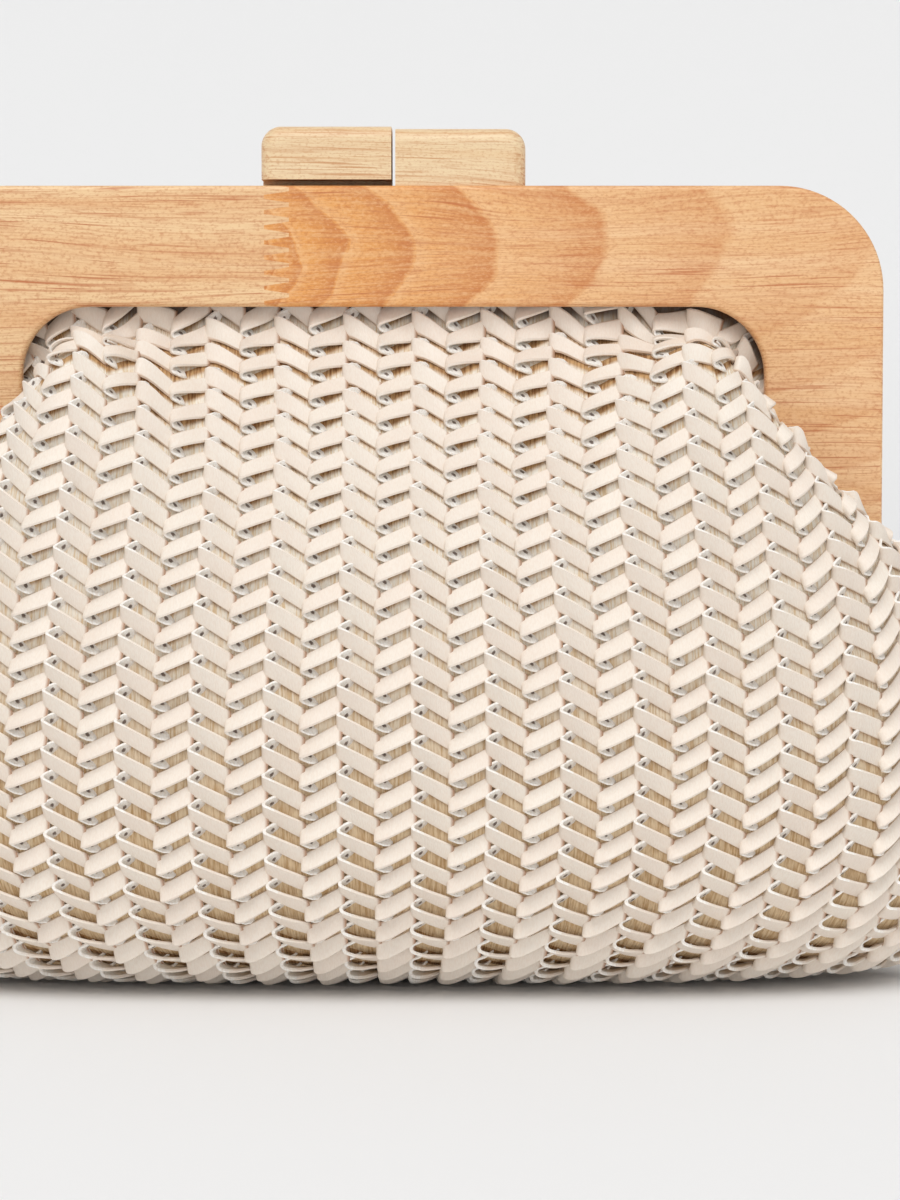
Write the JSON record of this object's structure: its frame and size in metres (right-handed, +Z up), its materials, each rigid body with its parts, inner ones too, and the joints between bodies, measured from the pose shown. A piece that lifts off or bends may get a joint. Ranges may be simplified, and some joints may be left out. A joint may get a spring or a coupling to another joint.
{
  "type": "woven clutch bag",
  "caption": "Clutch bag with a hinged wooden frame, two clasp blocks on top and a pouch of cream straps woven in chevrons over a tan lining.",
  "frame": {"origin": "on the floor under the middle of the clutch, where it stands", "axes": "+X to the right along the frame's top bar, -Y towards the front, +Z up"},
  "size_m": [0.2842, 0.1158, 0.2148],
  "materials": {
    "pale_board": "satin lacquer",
    "honey_board": "satin lacquer",
    "clasp_wood": "satin lacquer",
    "dowel_wood": "bare",
    "strap": "semi-matt coated strap",
    "lining": "coarse plain cloth",
    "hinge_brass": "satin",
    "magnet": "plated"
  },
  "bodies": {
    "pouch": {"woven_front": "strap", "woven_back": "strap", "lining_front": "lining", "lining_back": "lining", "hinge_pin_left": "hinge_brass", "hinge_pin_right": "hinge_brass"},
    "front_half": {"frame_front_left_board": "pale_board", "frame_front_right_board": "honey_board", "clasp_block_front": "clasp_wood", "clasp_dowels_front": "dowel_wood", "magnets_front": "magnet", "hinge_leaf_front_left": "hinge_brass", "hinge_leaf_front_right": "hinge_brass", "hinge_screws_front": "hinge_brass"},
    "back_half": {"frame_back": "honey_board", "clasp_block_back": "clasp_wood", "clasp_dowels_back": "dowel_wood", "magnets_back": "magnet", "hinge_leaf_back_left": "hinge_brass", "hinge_leaf_back_right": "hinge_brass", "hinge_screws_back": "hinge_brass"}
  },
  "joints": [
    {"name": "front_half_hinge", "type": "hinge", "parent": "pouch", "child": "front_half", "pos_m": [0, 0, 0.093], "axis": [1, 0, 0], "range_deg": [0, 32], "deforming": ["woven_front", "lining_front"]},
    {"name": "back_half_hinge", "type": "hinge", "parent": "pouch", "child": "back_half", "pos_m": [0, 0, 0.093], "axis": [-1, 0, 0], "range_deg": [0, 32], "deforming": ["woven_back", "lining_back"]}
  ]
}
